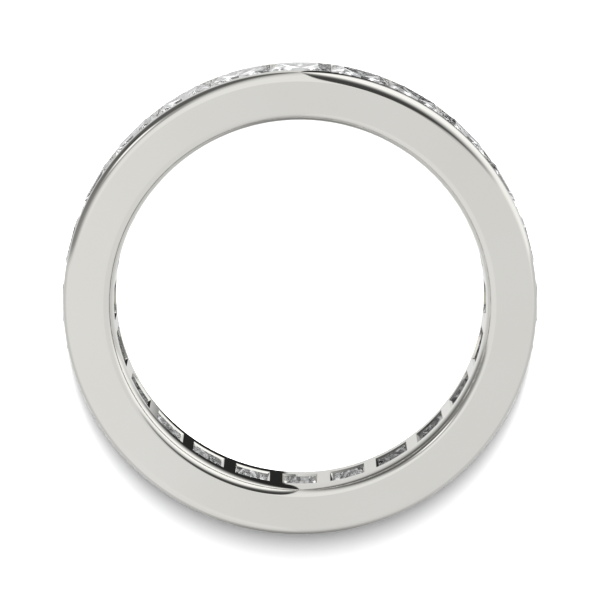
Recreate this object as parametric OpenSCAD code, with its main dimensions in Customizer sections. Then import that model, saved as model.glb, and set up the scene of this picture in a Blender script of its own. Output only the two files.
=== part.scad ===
// Wedding ring: a polished band with a row of square stones set edge to edge in a channel round its rim.
// Millimetres. The ring lies on its side: the finger axis is +Z, and Z = 0 is the face that it rests on.
// The origin is the centre of the finger hole in that face, and the first stone is centred on +Y.

/* [Band] */
// Diameter of the finger hole
bore_d = 16.5; // [16:0.1:17.2]
// Thickness of the band, from the finger hole to the rim
wall_t = 2.23; // [2.2:0.01:2.4]
// Width of the band, along the finger
band_w = 3.34; // [3.3:0.01:4]
// Rounding of the two edges of the finger hole
bore_round = 0.53; // [0.3:0.01:0.56]
// Rounding of the two edges of the rim
rim_round = 0.41; // [0.2:0.01:0.41]

/* [Channel] */
// Metal left between the finger hole and the floor of the channel
floor_t = 1; // [0.9:0.01:1.02]
// Thickness of the lips that hold the stones down
lip_t = 0.07; // [0.05:0.01:0.07]
// How far each lip reaches over the edge of a stone
lip_over = 0.1; // [0.06:0.01:0.1]
// Clearance between the stones and the groove under the lips
seat_gap = 0.025; // [0.02:0.005:0.04]

/* [Windows] */
// Size of each window in the finger hole, measured round the hole
window_w = 1.41; // [1.35:0.01:1.55]
// Size of each window along the finger
window_l = 1.46; // [1.4:0.01:1.6]
// Bevel of the windows' edges
window_bevel = 0.08; // [0.04:0.01:0.1]

/* [Stones] */
// Number of stones round the band
stone_n = 24; // [24:1:25]
// Gap between neighbouring stones
stone_gap = 0.05; // [0.03:0.01:0.1]
// How far the tables stand out of the rim
table_proud = 0.04; // [0.02:0.01:0.06]
// Width of the table, as a share of the stone's width
table_share = 0.61; // [0.55:0.01:0.65]
// Height of the crown, above the girdle
crown_h = 0.25; // [0.24:0.01:0.3]
// Thickness of the girdle
girdle_t = 0.05; // [0.04:0.01:0.08]
// Depth of the pavilion, below the girdle
pavilion_h = 1.64; // [1.5:0.01:1.64]

/* [Hidden] */

// Faces of the turned shapes, used for the preview only
$fn = 144;

// Length that a cut runs past the surface that it opens
past = 0.2;

bore_r = bore_d / 2;
rim_r = bore_r + wall_t;
floor_r = bore_r + floor_t;
half_w = band_w / 2;
pitch = 360 / stone_n;

// Radius of the girdle's lower edge, and the width that leaves the gap between neighbours there
girdle_r = rim_r + table_proud - crown_h - girdle_t;
stone_w = 2 * girdle_r * tan(pitch / 2) - stone_gap;

// Half widths of the channel: between the lips, at the girdle, and at the floor
lip_half = stone_w / 2 - lip_over;
groove_half = stone_w / 2 + seat_gap;
floor_half = window_l / 2 + 0.15;

// A point in the middle of each side of the crown breaks the slope between table and girdle
// [share of the way from the table's edge out to the girdle, share of the crown's height]
crown_break = [0.54, 0.6];

// Points in the middle of each side of the pavilion, where its chevron facets meet
// [share of half the stone's width, share of the pavilion's depth]
chevrons = [[0.87, 0.18], [0.66, 0.42], [0.38, 0.69]];

// Name of the stone at place i, counted clockwise from +Y as the ring is seen from above
function stone_name(i) = str("stone_", i < 10 ? "0" : "", i);

// Four copies of a point, turned a quarter each about Z
function on_four_sides(p) = [p, [-p.y, p.x, p.z], [-p.x, -p.y, p.z], [p.y, -p.x, p.z]];

// Corners of a square of half width a at height h
function square_at(a, h) = on_four_sides([a, a, h]);

// Section of the band: x is the radius, y is the height above the resting face
module band_section() {
    difference() {
        translate([bore_r, 0]) square([wall_t, band_w]);
        for (top = [0, 1]) {
            translate([bore_r, top * band_w]) edge_round(bore_round, 1, 1 - 2 * top);
            translate([rim_r, top * band_w]) edge_round(rim_round, -1, 1 - 2 * top);
        }
    }
}

// What rounding one corner takes off; x_way and y_way point from the corner into the section
module edge_round(r, x_way, y_way) {
    scale([x_way, y_way]) difference() {
        translate([-past, -past]) square(r + past);
        translate([r, r]) circle(r);
    }
}

// Section of the channel: parallel under the lips, then closing in towards the floor as the stones do
module channel_section() {
    outline = [
        [floor_r, floor_half],
        [girdle_r - seat_gap, groove_half],
        [rim_r - lip_t, groove_half],
        [rim_r - lip_t, lip_half],
        [rim_r + past, lip_half]
    ];
    lower = [for (p = outline) [p.x, half_w - p.y]];
    upper = [for (i = [len(outline) - 1:-1:0]) [outline[i].x, half_w + outline[i].y]];
    polygon(concat(lower, upper));
}

// Ring that the windows are cut from: it sets their length along the finger and bevels those edges
module window_ring() {
    reach = window_bevel + past;
    rotate_extrude() polygon([
        [bore_r - past, half_w - window_l / 2 - reach],
        [bore_r + window_bevel, half_w - window_l / 2],
        [floor_r + past, half_w - window_l / 2],
        [floor_r + past, half_w + window_l / 2],
        [bore_r + window_bevel, half_w + window_l / 2],
        [bore_r - past, half_w + window_l / 2 + reach]
    ]);
}

// Spokes that the windows are cut from: they set the windows' width round the finger and bevel those edges
module window_spokes() {
    a = window_w / 2;
    edge_y = sqrt(bore_r * bore_r - a * a);
    reach = window_bevel + past;
    for (i = [0:stone_n - 1]) rotate(i * pitch) linear_extrude(band_w) polygon([
        [-a - reach, edge_y - past],
        [a + reach, edge_y - past],
        [a, edge_y + window_bevel],
        [a, floor_r + past],
        [-a, floor_r + past],
        [-a, edge_y + window_bevel]
    ]);
}

// The band is one piece of metal: the hoop, less the channel for the stones and the window behind each stone.
// The turned shapes start half a pitch round, so that their seams run along a bar between two windows.
module band() {
    color("lightgray") difference() {
        rotate(pitch / 2) rotate_extrude() band_section();
        rotate(pitch / 2) rotate_extrude() channel_section();
        intersection() {
            rotate(pitch / 2) window_ring();
            window_spokes();
        }
    }
}

// One square stone with its table up, on the plane of the girdle's lower edge
module stone() {
    half = stone_w / 2;
    table_half = half * table_share;
    crown_mid = table_half + (half - table_half) * crown_break[0];
    points = concat(
        square_at(table_half, girdle_t + crown_h),
        on_four_sides([crown_mid, 0, girdle_t + crown_h * crown_break[1]]),
        square_at(half, girdle_t),
        square_at(half, 0),
        [for (c = chevrons) each on_four_sides([half * c[0], 0, -pavilion_h * c[1]])],
        [[0, 0, -pavilion_h]]
    );
    hull() polyhedron(points, [[for (i = [0:len(points) - 1]) i]]);
}

// The stone at place i, seated in the channel with its table outwards
module set_stone(i) {
    color("aliceblue") rotate([0, 0, -pitch * (i - 1)])
        translate([0, girdle_r, half_w]) rotate([-90, 0, 0]) stone();
}

band();
for (i = [1:stone_n]) set_stone(i);
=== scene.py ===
# Wedding ring: the looks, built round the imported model. Metres, in the row's frame: the ring lies on
# its side, the finger axis is +Z, Z = 0 is the resting face, and the first stone is centred on +Y.
import math

import bpy
from mathutils import Matrix, Vector


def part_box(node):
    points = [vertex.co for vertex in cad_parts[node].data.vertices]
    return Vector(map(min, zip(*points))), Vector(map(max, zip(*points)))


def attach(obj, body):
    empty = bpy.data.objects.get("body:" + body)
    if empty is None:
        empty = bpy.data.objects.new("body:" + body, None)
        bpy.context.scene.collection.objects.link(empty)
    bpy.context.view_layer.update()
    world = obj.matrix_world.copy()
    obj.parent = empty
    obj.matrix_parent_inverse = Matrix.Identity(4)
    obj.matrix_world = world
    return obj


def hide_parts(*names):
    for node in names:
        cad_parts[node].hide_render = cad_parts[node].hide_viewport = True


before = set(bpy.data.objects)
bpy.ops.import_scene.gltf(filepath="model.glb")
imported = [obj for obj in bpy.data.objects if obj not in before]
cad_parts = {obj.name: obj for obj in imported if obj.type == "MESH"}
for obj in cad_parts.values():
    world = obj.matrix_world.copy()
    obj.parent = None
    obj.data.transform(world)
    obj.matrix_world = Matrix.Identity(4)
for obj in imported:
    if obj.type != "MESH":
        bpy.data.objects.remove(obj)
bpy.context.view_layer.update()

MM = 0.001

# Sizes that the frame gives
BAND_LOW, BAND_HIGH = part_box("band")
RIM_R = (BAND_HIGH.x - BAND_LOW.x) / 2
BAND_W = BAND_HIGH.z - BAND_LOW.z
HALF_W = BAND_W / 2
STONES = sorted(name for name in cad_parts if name.startswith("stone_"))
PITCH = 2 * math.pi / len(STONES)

# Sizes of the band, as in the part's source
BORE_R = 8.25 * MM
FLOOR_R = BORE_R + 1.0 * MM
GROOVE_R = RIM_R - 0.285 * MM
LIP_R = RIM_R - 0.07 * MM
STONE_HALF = 1.3205 * MM
WINDOW_W = 1.41 * MM
WINDOW_L = 1.46 * MM
WINDOW_BEVEL = 0.08 * MM

# Heights of the section's corners in the upper half of the width; mirrored() gives the lower half
WINDOW_Z = HALF_W + WINDOW_L / 2
BEVEL_Z = WINDOW_Z + WINDOW_BEVEL
FLOOR_Z = WINDOW_Z + 0.15 * MM
LIP_Z = HALF_W + STONE_HALF - 0.1 * MM
GROOVE_Z = HALF_W + STONE_HALF + 0.025 * MM

# Roundings of the edges, along the radius and along the finger. They differ a little from the source's 0.53 mm
# at the hole and 0.41 mm at the rim, as the photograph's reflections and the hole's two outlines ask for.
BORE_ROUND = (0.43 * MM, 0.645 * MM)
BORE_ROUND_REAR = (0.43 * MM, 0.43 * MM)
RIM_ROUND = (0.46 * MM, 0.41 * MM)

# Rounding of the lips' edges beside the stones, which catches the light
LIP_ROUND = 0.025 * MM

# Columns of faces over one window, over the bar beside it, and steps round one rounded edge
WINDOW_COLUMNS = 16
BAR_COLUMNS = 6
ROUND_STEPS = 16

# The photograph's view: how far the camera leans from the finger axis, and how far off it stands
CAMERA_TILT = math.radians(11.61)
CAMERA_DISTANCE = 156.7 * MM
CAMERA_LENS = 210.9
CAMERA_SHIFT_Y = -0.0009

# The table, and its two lights, which light nothing else
TABLE_HALF = 0.6
SOFT_LIGHT_SIZE = (0.11, 0.8)
SOFT_LIGHT_POWER = 19.5
SOFT_LIGHT_LEAN = math.radians(33)
SOFT_LIGHT_DISTANCE = 0.9
HOLE_LIGHT_REACH = 9.4 * MM
HOLE_LIGHT_POWER = 1.2

# Where the studio's two halves meet, and how softly, as a sine round the camera's upright axis: 3 degrees to
# the right of the camera, and 2 degrees to the right of straight behind the ring
SEAM_TURN = math.radians(0.38)
SEAM = (0.036, 0.054)

# Share of the studio's light that reaches the table
TABLE_SHARE = 0.11


# The band's mesh

class Grid:
    """Vertices in rings round the finger axis, and faces that each say their own corner normals.
    Surfaces that meet at a sharp edge have a ring each there, so that each vertex has one normal."""

    def __init__(self):
        self.points = []
        self.rings = {}
        self.faces = []
        self.normals = []

    def ring(self, r, z, nr, nz, half):
        """The ring of vertices at this radius, height and slope; half is half a window's angle there."""
        key = (round(r * 1e9), round(z * 1e9), round(nr * 1e3), round(nz * 1e3), round(half * 1e9))
        if key not in self.rings:
            self.rings[key] = len(self.points)
            for i in range(len(STONES)):
                for a in column_angles(half):
                    a += i * PITCH
                    self.points.append((r * math.sin(a), r * math.cos(a), z))
        return self.rings[key]

    def quad(self, corners, normal):
        """One flat face with corners of its own."""
        start = len(self.points)
        self.points.extend(corners)
        self.face(list(range(start, start + 4)), [normal] * 4)

    def vertex(self, start, window, column):
        """Number of a vertex: the ring's first vertex, then which window, then which column."""
        per_window = WINDOW_COLUMNS + BAR_COLUMNS
        return start + (window * per_window + column) % (per_window * len(STONES))

    def face(self, corners, corner_normals):
        """Adds one face, wound so that it looks the way its corner normals point."""
        p = [Vector(self.points[c]) for c in corners]
        across = (p[2] - p[0]).cross(p[3] - p[1])
        if across.dot(sum(corner_normals, Vector())) < 0:
            corners, corner_normals = corners[::-1], corner_normals[::-1]
        self.faces.append(corners)
        self.normals.extend(n.normalized() for n in corner_normals)


def column_angles(half):
    """Angles of one pitch's columns: across the window, then across the bar that follows it."""
    over_window = [half * (2 * i / WINDOW_COLUMNS - 1) for i in range(WINDOW_COLUMNS)]
    over_bar = [half + (PITCH - 2 * half) * i / BAR_COLUMNS for i in range(BAR_COLUMNS)]
    return over_window + over_bar


def turned_normal(point, nr, nz):
    """Normal (nr outwards, nz up) of a turned surface at a vertex."""
    out = Vector((point[0], point[1], 0)).normalized()
    return out * nr + Vector((0, 0, nz))


def strip(grid, rows, half, holes=False):
    """A turned surface through rows of (radius, height, nr, nz); holes leaves the windows open."""
    for (r0, z0, nr0, nz0), (r1, z1, nr1, nz1) in zip(rows, rows[1:]):
        a, b = grid.ring(r0, z0, nr0, nz0, half), grid.ring(r1, z1, nr1, nz1, half)
        for window in range(len(STONES)):
            first = WINDOW_COLUMNS if holes else 0
            for column in range(first, WINDOW_COLUMNS + BAR_COLUMNS):
                low = [grid.vertex(a, window, column), grid.vertex(a, window, column + 1)]
                high = [grid.vertex(b, window, column + 1), grid.vertex(b, window, column)]
                low_normals = [turned_normal(grid.points[c], nr0, nz0) for c in low]
                high_normals = [turned_normal(grid.points[c], nr1, nz1) for c in high]
                grid.face(low + high, low_normals + high_normals)


def flat(points, nr, nz):
    """Rows of a strip whose normal is the same all over."""
    return [(r, z, nr, nz) for r, z in points]


def rounded(centre_r, centre_z, half_r, half_z, start, end):
    """Rows round an oval edge, from one direction of the section to another, in degrees."""
    rows = []
    for i in range(ROUND_STEPS + 1):
        a = math.radians(start + (end - start) * i / ROUND_STEPS)
        normal = Vector((math.cos(a) / half_r, math.sin(a) / half_z)).normalized()
        rows.append((centre_r + half_r * math.cos(a), centre_z + half_z * math.sin(a), normal.x, normal.y))
    return rows


def mirrored(rows):
    """The same rows on the other side of the band's middle plane."""
    return [(r, BAND_W - z, nr, -nz) for r, z, nr, nz in rows]


def half_window_at_bore():
    """Half of a window's angle at the finger hole, where the bevel opens it at 45 degrees."""
    edge_y = math.sqrt(BORE_R ** 2 - (WINDOW_W / 2) ** 2)
    bevel_line = WINDOW_W / 2 + edge_y + WINDOW_BEVEL
    bevel_x = (bevel_line - math.sqrt(2 * BORE_R ** 2 - bevel_line ** 2)) / 2
    return math.asin(bevel_x / BORE_R)


def band_mesh():
    """The band: rounded hoop, channel with lips, and one bevelled window behind each stone."""
    grid = Grid()
    inner_r = BORE_R + WINDOW_BEVEL
    half_bore = half_window_at_bore()
    half_inner = math.asin(WINDOW_W / 2 / inner_r)
    half_floor = math.asin(WINDOW_W / 2 / FLOOR_R)
    for rows in rim_and_channel():
        strip(grid, rows, half_bore)
        strip(grid, mirrored(rows), half_bore)
    for rows in bore_edge(*BORE_ROUND):
        strip(grid, rows, half_bore)
    for rows in bore_edge(*BORE_ROUND_REAR):
        strip(grid, mirrored(rows), half_bore)
    strip(grid, flat([(BORE_R, BEVEL_Z), (BORE_R, BAND_W - BEVEL_Z)], -1, 0), half_bore, holes=True)
    floor_join(grid, half_bore, half_floor)
    strip(grid, flat([(FLOOR_R, WINDOW_Z), (FLOOR_R, BAND_W - WINDOW_Z)], 1, 0), half_floor, holes=True)
    for window in range(len(STONES)):
        window_sides(grid, window, [
            (BORE_R, BEVEL_Z, half_bore),
            (inner_r, WINDOW_Z, half_inner),
            (FLOOR_R, WINDOW_Z, half_floor),
        ])
    return finished_mesh("band_polished", grid)


def rim_and_channel():
    """The section's upper half from the flat face over the rim and the lip, down the channel's wall."""
    rim_r, rim_z = RIM_ROUND
    slope = Vector((GROOVE_Z - FLOOR_Z, FLOOR_R - GROOVE_R)).normalized()
    return [
        flat([(BORE_R + BORE_ROUND[0], BAND_W), (RIM_R - rim_r, BAND_W)], 0, 1),
        rounded(RIM_R - rim_r, BAND_W - rim_z, rim_r, rim_z, 90, 0),
        flat([(RIM_R, BAND_W - rim_z), (RIM_R, LIP_Z + LIP_ROUND)], 1, 0),
        rounded(RIM_R - LIP_ROUND, LIP_Z + LIP_ROUND, LIP_ROUND, LIP_ROUND, 0, -90),
        flat([(RIM_R - LIP_ROUND, LIP_Z), (LIP_R, LIP_Z)], 0, -1),
        flat([(LIP_R, LIP_Z), (LIP_R, GROOVE_Z)], -1, 0),
        flat([(LIP_R, GROOVE_Z), (GROOVE_R, GROOVE_Z)], 0, -1),
        flat([(GROOVE_R, GROOVE_Z), (FLOOR_R, FLOOR_Z)], slope.x, slope.y),
    ]


def bore_edge(half_r, half_z):
    """Rows from beside the windows' bevels, over the finger hole's rounded edge, to the flat face."""
    return [
        flat([(BORE_R, BEVEL_Z), (BORE_R, BAND_W - half_z)], -1, 0),
        rounded(BORE_R + half_r, BAND_W - half_z, half_r, half_z, 180, 90),
    ]


def floor_join(grid, half_bore, half_floor):
    """The channel's floor beside the windows, where the columns close in to the windows' width."""
    for outer_z, inner_z in ((FLOOR_Z, WINDOW_Z), (BAND_W - FLOOR_Z, BAND_W - WINDOW_Z)):
        a = grid.ring(FLOOR_R, outer_z, 1, 0, half_bore)
        b = grid.ring(FLOOR_R, inner_z, 1, 0, half_floor)
        for window in range(len(STONES)):
            for column in range(WINDOW_COLUMNS + BAR_COLUMNS):
                outer = [grid.vertex(a, window, column), grid.vertex(a, window, column + 1)]
                inner = [grid.vertex(b, window, column + 1), grid.vertex(b, window, column)]
                corners = outer + inner
                grid.face(corners, [turned_normal(grid.points[c], 1, 0) for c in corners])


def window_sides(grid, window, rows):
    """The bevel and the four walls of one window, from the bore out to the floor of the channel."""
    turn = window * PITCH
    middle = Vector((math.sin(turn) * FLOOR_R, math.cos(turn) * FLOOR_R, HALF_W))

    def corner(row, column, low):
        r, z, half = row
        a = turn + column_angles(half)[column]
        return Vector((r * math.sin(a), r * math.cos(a), BAND_W - z if low else z))

    for near, far in zip(rows, rows[1:]):
        for low in (False, True):
            for column in range(WINDOW_COLUMNS):
                edge = [corner(near, column, low), corner(near, column + 1, low)]
                add_facing(grid, edge + [corner(far, column + 1, low), corner(far, column, low)], middle)
        for column in (0, WINDOW_COLUMNS):
            edge = [corner(near, column, False), corner(near, column, True)]
            add_facing(grid, edge + [corner(far, column, True), corner(far, column, False)], middle)


def add_facing(grid, quad, middle):
    """Adds a flat face that looks towards the middle of its window."""
    normal = (quad[2] - quad[0]).cross(quad[3] - quad[1]).normalized()
    if normal.dot(middle - sum(quad, Vector()) / len(quad)) < 0:
        normal = -normal
    grid.quad(quad, normal)


def finished_mesh(name, grid):
    """A smooth mesh object with the grid's own corner normals."""
    mesh = bpy.data.meshes.new(name)
    mesh.from_pydata(grid.points, [], grid.faces)
    mesh.shade_smooth()
    mesh.normals_split_custom_set(grid.normals)
    made = bpy.data.objects.new(name, mesh)
    bpy.context.scene.collection.objects.link(made)
    return made


# Materials

def new_material(name):
    """A node material, its tree and its shader."""
    material = bpy.data.materials.new(name)
    material.use_nodes = True
    return material, material.node_tree, material.node_tree.nodes["Principled BSDF"]


def noise(tree, position, scale, detail=2.0):
    """Factor of a noise texture whose features repeat about every 1 / scale metres."""
    node = tree.nodes.new("ShaderNodeTexNoise")
    node.inputs["Scale"].default_value = scale
    node.inputs["Detail"].default_value = detail
    tree.links.new(position, node.inputs["Vector"])
    return node.outputs["Fac"]


def between(tree, factor, low, high, floor=0.3, ceiling=0.7):
    """A number that runs from low to high as the factor runs from floor to ceiling."""
    node = tree.nodes.new("ShaderNodeMapRange")
    for name, value in (("From Min", floor), ("From Max", ceiling), ("To Min", low), ("To Max", high)):
        node.inputs[name].default_value = value
    tree.links.new(factor, node.inputs["Value"])
    return node.outputs["Result"]


def colours(tree, factor, first, second):
    """A colour that runs from the first to the second as the factor runs from 0.3 to 0.7."""
    node = tree.nodes.new("ShaderNodeValToRGB")
    node.color_ramp.elements[0].position = 0.3
    node.color_ramp.elements[0].color = (*first, 1)
    node.color_ramp.elements[1].position = 0.7
    node.color_ramp.elements[1].color = (*second, 1)
    tree.links.new(factor, node.inputs["Fac"])
    return node.outputs["Color"]


def mixed(tree, factor, first, second):
    """The first colour where the factor is 0, and the second where it is 1."""
    node = tree.nodes.new("ShaderNodeMix")
    node.data_type = "RGBA"
    # A mix node keeps its sockets for colours behind those for numbers and vectors
    for socket, value in zip((node.inputs[0], node.inputs[6], node.inputs[7]), (factor, first, second)):
        tree.links.new(value, socket)
    return node.outputs[2]


def white_gold():
    """Polished white gold: a mirror, with the faint wobble and fine wheel marks that polishing leaves."""
    material, tree, shader = new_material("white_gold_polished")
    shader.inputs["Metallic"].default_value = 1.0
    place = tree.nodes.new("ShaderNodeTexCoord").outputs["Object"]
    tint = noise(tree, place, 220)
    radius, turn, height = round_axis(tree, place)
    outside = colours(tree, tint, (0.852, 0.842, 0.798), (0.868, 0.860, 0.822))
    channel = colours(tree, tint, (0.92, 0.92, 0.915), (0.94, 0.94, 0.94))
    colour = mixed(tree, inside_channel(tree, radius, height), outside, channel)
    tree.links.new(colour, shader.inputs["Base Color"])
    tree.links.new(between(tree, noise(tree, place, 900), 0.02, 0.06), shader.inputs["Roughness"])
    tree.links.new(wheel_marks(tree, radius, turn, height), shader.inputs["Normal"])
    return material


def round_axis(tree, place):
    """Distance from the finger axis, turn about it, and height over the resting face."""
    split = tree.nodes.new("ShaderNodeSeparateXYZ")
    tree.links.new(place, split.inputs[0])
    x, y, height = split.outputs
    squares = math_node(tree, "ADD", math_node(tree, "MULTIPLY", x, x), math_node(tree, "MULTIPLY", y, y))
    return math_node(tree, "SQRT", squares), math_node(tree, "ARCTAN2", x, y), height


def inside_channel(tree, radius, height):
    """1 on the walls behind the stones, which are bright cut metal, and 0 on the polished outside."""
    from_middle = math_node(tree, "ABSOLUTE", math_node(tree, "SUBTRACT", height, HALF_W))
    groove_half = GROOVE_Z - HALF_W
    past_bore = between(tree, radius, 0, 1, BORE_R + 0.05 * MM, BORE_R + 0.11 * MM)
    under_lips = between(tree, radius, 1, 0, LIP_R - 0.03 * MM, LIP_R + 0.01 * MM)
    between_sides = between(tree, from_middle, 1, 0, groove_half + 0.01 * MM, groove_half + 0.05 * MM)
    return math_node(tree, "MULTIPLY", past_bore, math_node(tree, "MULTIPLY", under_lips, between_sides))


def wheel_marks(tree, radius, turn, height):
    """A bump of fine marks that run round the finger axis, far below a hair's width."""
    joined = tree.nodes.new("ShaderNodeCombineXYZ")
    for socket, value in zip(joined.inputs, (math_node(tree, "MULTIPLY", turn, 0.002), radius, height)):
        tree.links.new(value, socket)
    bump = tree.nodes.new("ShaderNodeBump")
    bump.inputs["Strength"].default_value = 0.02
    bump.inputs["Distance"].default_value = 0.002 * MM
    tree.links.new(noise(tree, joined.outputs[0], 9000), bump.inputs["Height"])
    return bump.outputs["Normal"]


def clear_stone():
    """Clear cut stone: glass with a diamond's strong bending of light, and a trace of cold colour."""
    material, tree, shader = new_material("clear_stone_polished")
    shader.inputs["IOR"].default_value = 2.42
    shader.inputs["Transmission Weight"].default_value = 1.0
    place = tree.nodes.new("ShaderNodeTexCoord").outputs["Object"]
    tint = noise(tree, place, 350)
    tree.links.new(colours(tree, tint, (0.955, 0.97, 0.985), (1.0, 1.0, 1.0)), shader.inputs["Base Color"])
    shader.inputs["Roughness"].default_value = 0.0
    return material


def feed(tree, socket, value):
    """Gives a socket its value, which is a number or another node's socket."""
    if isinstance(value, (int, float)):
        socket.default_value = value
    else:
        tree.links.new(value, socket)


def math_node(tree, operation, *values):
    """Result of a math node; each value is a number or a socket."""
    node = tree.nodes.new("ShaderNodeMath")
    node.operation = operation
    for socket, value in zip(node.inputs, values):
        feed(tree, socket, value)
    return node.outputs["Value"]


# The studio round the ring: soft cards and gaps that the metal and the stones reflect

def grey(shown):
    """Light of a card that polished white gold shows at this level of 0 to 255 on the screen."""
    level = shown / 255
    linear = ((level + 0.055) / 1.055) ** 2.4 if level > 0.04045 else level / 12.92
    return linear / 0.85


class Studio:
    """Paints cards on directions; longitude and latitude are degrees round the camera's upright axis.
    Longitude 0 is towards the camera, 90 to its right and 180 straight behind the ring."""

    def __init__(self, tree):
        self.tree = tree
        self.direction = tree.nodes.new("ShaderNodeTexCoord").outputs["Generated"]
        self.across = self.along(1, 0, 0)
        self.away = self.along(0, 0, 1)
        angle = self.math("ARCTAN2", self.across, self.away)
        self.lat = self.math("MULTIPLY", self.math("ARCSINE", self.along(0, 1, 0)), math.degrees(1))
        self.lon = self.math("MULTIPLY", angle, math.degrees(1))
        self.side = self.math("ABSOLUTE", self.lon)
        # The left half reaches past straight behind the ring, so its longitude runs on to beyond -180
        past_back = self.math("GREATER_THAN", self.lon, 90)
        self.left_lon = self.math("SUBTRACT", self.lon, self.math("MULTIPLY", past_back, 360))
        self.sine = self.math("SINE", self.math("SUBTRACT", angle, SEAM_TURN))

    def math(self, operation, *values):
        """A math node in the world's tree."""
        return math_node(self.tree, operation, *values)

    def along(self, x, y, z):
        """How far the direction runs along an axis of the camera."""
        node = self.tree.nodes.new("ShaderNodeVectorMath")
        node.operation = "DOT_PRODUCT"
        node.inputs[1].default_value = Matrix.Rotation(-CAMERA_TILT, 3, "X") @ Vector((x, y, z))
        self.tree.links.new(self.direction, node.inputs[0])
        return node.outputs["Value"]

    def line(self, lon, lon_share, lat_share):
        """Distance across a straight edge on the chart of longitude and latitude."""
        return self.add(self.math("MULTIPLY", lon, lon_share), self.math("MULTIPLY", self.lat, lat_share))

    def ramp(self, value, start, end):
        """0 before start and 1 past end, with a soft step between; start may be above end."""
        node = self.tree.nodes.new("ShaderNodeMapRange")
        node.interpolation_type = "SMOOTHSTEP"
        node.inputs["From Min"].default_value = start
        node.inputs["From Max"].default_value = end
        self.tree.links.new(value, node.inputs["Value"])
        return node.outputs["Result"]

    def add(self, first, second):
        """The sum of two values."""
        return self.math("ADD", first, second)

    def both(self, first, second):
        """Where both masks hold."""
        return self.math("MULTIPLY", first, second)

    def either(self, first, second):
        """Where one of two masks holds."""
        return self.math("MAXIMUM", first, second)

    def blend(self, low, high, mask):
        """A level that runs from low to high with the mask; each level is a number or a socket."""
        node = self.tree.nodes.new("ShaderNodeMix")
        for socket, value in zip((node.inputs[0], node.inputs[2], node.inputs[3]), (mask, low, high)):
            feed(self.tree, socket, value)
        return node.outputs[0]

    def spot(self, lon, lat, lon_half, lat_half, soft):
        """An oval card; soft is the share of its half size over which it fades."""
        across = self.math("DIVIDE", self.math("SUBTRACT", self.lon, lon), lon_half)
        along = self.math("DIVIDE", self.math("SUBTRACT", self.lat, lat), lat_half)
        far = self.math("SQRT", self.add(self.math("POWER", across, 2), self.math("POWER", along, 2)))
        return self.ramp(far, 1.0, 1.0 - soft)


def right_half(studio, table):
    """Right of the camera: a large white card, a dark end behind the ring, and a dark gap beside the lens."""
    lon = studio.lon
    pale_end = studio.blend(grey(241), grey(205), studio.ramp(lon, 108, 140))
    dark_end = studio.blend(grey(249), grey(38), studio.ramp(lon, 105, 166))
    card = studio.blend(pale_end, dark_end, studio.ramp(studio.line(lon, 0.25, 1), 48, 56))
    edge = studio.ramp(studio.line(lon, 0.44, 1), 15, 48)
    behind = studio.either(studio.ramp(studio.line(lon, -0.25, 1), -25, -18), studio.ramp(studio.lat, 5, 11))
    above = studio.either(studio.ramp(lon, 86, 78), behind)
    level = studio.blend(table, card, studio.both(edge, above))
    past_lens = studio.ramp(studio.line(lon, 5.6, 1), 60, 200)
    past_gap = studio.both(past_lens, studio.ramp(studio.line(lon, 0.78, 1), 3, 85))
    over_edge = studio.either(studio.line(lon, -0.89, 1), studio.add(studio.line(lon, -0.46, 1), -6.7))
    return studio.blend(level, studio.blend(grey(62), level, past_gap), studio.ramp(over_edge, -24, -15))


def left_half(studio, table):
    """Left of the camera: a grey wall, light beside the lens and behind the ring, and one small lamp."""
    lon = studio.left_lon
    wall = studio.blend(grey(134), grey(88), studio.ramp(studio.lat, 0, 40))
    level = studio.blend(wall, grey(208), studio.ramp(lon, -108, -160))
    level = studio.blend(level, grey(224), studio.ramp(studio.line(lon, -1, 0.52), 80, 18))
    level = studio.blend(level, grey(150), studio.spot(-48, 22, 25, 18, 0.4))
    level = studio.blend(level, grey(52), studio.spot(-74, 34, 17, 8, 1.0))
    level = studio.blend(level, grey(254), studio.spot(-51, 23, 15, 11, 0.6))
    return studio.blend(table, level, studio.ramp(studio.line(lon, 0.2, 1), -21, -13))


def lower_part(studio):
    """The pale table, less bright beside and behind the ring, and darkest below and behind it, where a shadow
    of the ring's foot on the table is painted into the studio.
    """
    level = studio.blend(grey(208), grey(216), studio.ramp(studio.lon, 0, -4))
    beside = studio.both(studio.ramp(studio.side, 70, 108), studio.ramp(studio.side, 152, 120))
    level = studio.blend(level, grey(191), beside)
    behind = studio.both(studio.ramp(studio.side, 105, 140), studio.ramp(studio.lat, -8, -35))
    level = studio.blend(level, grey(186), behind)
    # Painted shadow: the studio is painted dark below and behind the ring, standing in for the table's shade
    # at the ring's foot, which the foot's rounded edge reflects
    in_line = studio.ramp(studio.math("ABSOLUTE", studio.across), 0.5, 0.05)
    below = studio.both(studio.ramp(studio.lat, -15, -40), in_line)
    painted_foot_shadow = studio.both(studio.ramp(studio.away, 0.75, -1.0), below)
    return studio.blend(level, grey(118), painted_foot_shadow)


def seen_through_stones(studio):
    """What light meets once it has been through a stone: bright cards above and on both sides of the dark
    camera, and round the ring's foot a bright band on the dim table."""
    level = studio.blend(0.05, 0.08, studio.ramp(studio.lat, -28, -32))
    level = studio.blend(level, 0.75, studio.ramp(studio.lat, -58, -62))
    level = studio.blend(level, 0.03, studio.ramp(studio.lat, -68, -72))
    level = studio.blend(level, 0.4, studio.ramp(studio.lat, -78, -82))
    to_right = studio.ramp(studio.lon, -20, 20)
    beside_camera = studio.both(studio.ramp(studio.side, 18, 22), studio.ramp(studio.side, 62, 58))
    side_cards = studio.both(studio.ramp(studio.lat, -2, 2), beside_camera)
    level = studio.blend(level, studio.blend(0.9, 1.6, to_right), side_cards)
    level = studio.blend(level, 0.0, studio.spot(0, 12, 20, 18, 0.2))
    level = studio.blend(level, studio.blend(0.9, 2.2, to_right), studio.ramp(studio.lat, 28, 32))
    return studio.blend(level, 1.9, studio.ramp(studio.lat, 58, 62))


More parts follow.
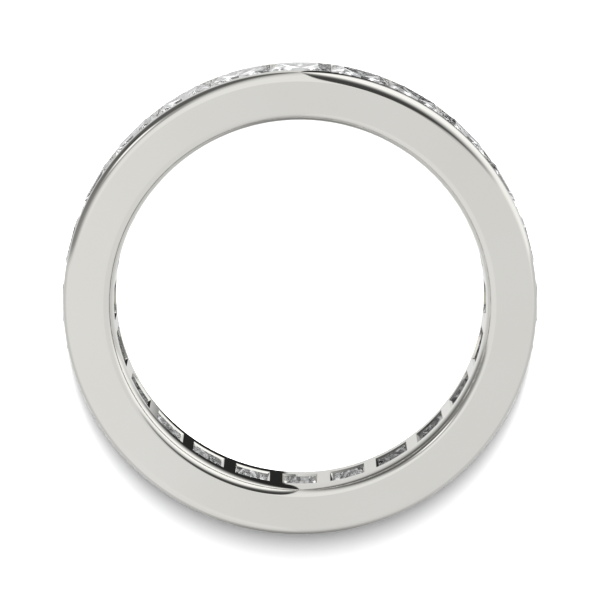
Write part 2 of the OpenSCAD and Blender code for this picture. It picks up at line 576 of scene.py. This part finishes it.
def make_studio():
    """The world: reflections see the cards, the table gets a share of their light, and past the table the
    camera itself sees plain white."""
    world = bpy.data.worlds.new("studio")
    bpy.context.scene.world = world
    world.use_nodes = True
    tree = world.node_tree
    studio = Studio(tree)
    table = lower_part(studio)
    level = studio.blend(left_half(studio, table), right_half(studio, table), studio.ramp(studio.sine, *SEAM))
    path = tree.nodes.new("ShaderNodeLightPath").outputs
    past_stone = studio.math("GREATER_THAN", path["Transmission Depth"], 0.5)
    level = studio.blend(level, seen_through_stones(studio), past_stone)
    level = studio.blend(level, studio.math("MULTIPLY", level, TABLE_SHARE), path["Is Diffuse Ray"])
    backdrop = studio.blend(level, 1.0, path["Is Camera Ray"])
    tree.links.new(backdrop, tree.nodes["Background"].inputs["Color"])
    tree.nodes["Background"].inputs["Strength"].default_value = 1.0


def make_floor():
    """The plain pale table that the ring lies on. The metal shows the studio instead of it."""
    corners = [(x * TABLE_HALF, y * TABLE_HALF, 0) for x, y in ((-1, -1), (1, -1), (1, 1), (-1, 1))]
    mesh = bpy.data.meshes.new("table")
    mesh.from_pydata(corners, [], [(0, 1, 2, 3)])
    floor = bpy.data.objects.new("table", mesh)
    bpy.context.scene.collection.objects.link(floor)
    material, _, shader = new_material("table_white")
    shader.inputs["Base Color"].default_value = (0.9, 0.9, 0.9, 1)
    shader.inputs["Roughness"].default_value = 0.9
    shader.inputs["Specular IOR Level"].default_value = 0.0
    mesh.materials.append(material)
    floor.visible_glossy = False
    floor.visible_transmission = False


def make_lights():
    """A narrow soft light that leans over the ring's top and throws the shadow at its foot, and one at the
    camera's own place that keeps the table white in the finger hole, without a shadow that it could see."""
    data = bpy.data.lights.new("soft_light", "AREA")
    data.shape = "RECTANGLE"
    data.size, data.size_y = SOFT_LIGHT_SIZE
    data.energy = SOFT_LIGHT_POWER
    place_light(data, SOFT_LIGHT_LEAN, SOFT_LIGHT_DISTANCE)
    data = bpy.data.lights.new("hole_light", "SPOT")
    data.shadow_soft_size = 0
    data.spot_size = 2 * math.atan(HOLE_LIGHT_REACH / CAMERA_DISTANCE)
    data.spot_blend = 0.1
    data.energy = HOLE_LIGHT_POWER
    place_light(data, CAMERA_TILT, CAMERA_DISTANCE)


def place_light(data, lean, distance):
    """Puts a light at a distance from the ring, leaning from the finger axis; it lights the table alone."""
    light = bpy.data.objects.new(data.name, data)
    bpy.context.scene.collection.objects.link(light)
    away = Vector((0, math.sin(lean), math.cos(lean)))
    light.location = Vector((0, 0, HALF_W)) + away * distance
    light.rotation_euler = away.to_track_quat("Z", "Y").to_euler()
    light.visible_glossy = False
    light.visible_transmission = False


def make_camera():
    """The camera at the photograph's angle to the ring."""
    data = bpy.data.cameras.new("camera")
    data.lens = CAMERA_LENS
    data.shift_y = CAMERA_SHIFT_Y
    data.clip_start = 10 * MM
    camera = bpy.data.objects.new("camera", data)
    bpy.context.scene.collection.objects.link(camera)
    away = Vector((0, math.sin(CAMERA_TILT), math.cos(CAMERA_TILT)))
    camera.location = Vector((0, 0, HALF_W)) + away * CAMERA_DISTANCE
    camera.rotation_euler = (-CAMERA_TILT, 0, 0)
    bpy.context.scene.camera = camera


def let_light_through():
    """Enough bounces for light to find its way in and out of the cut stones."""
    cycles = bpy.context.scene.cycles
    cycles.max_bounces = 32
    cycles.glossy_bounces = 24
    cycles.transmission_bounces = 32


def dress_stones():
    """The cut stones keep their CAD facets and get the clear stone's finish."""
    material = clear_stone()
    for name in STONES:
        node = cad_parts[name]
        node.data.materials.clear()
        node.data.materials.append(material)


def dress_band():
    """The finer band, which stands for the CAD band."""
    band = band_mesh()
    band.data.materials.append(white_gold())
    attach(band, "root")
    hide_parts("band")


dress_band()
dress_stones()
make_studio()
make_floor()
make_lights()
make_camera()
bpy.context.scene.view_settings.view_transform = "Standard"
let_light_through()
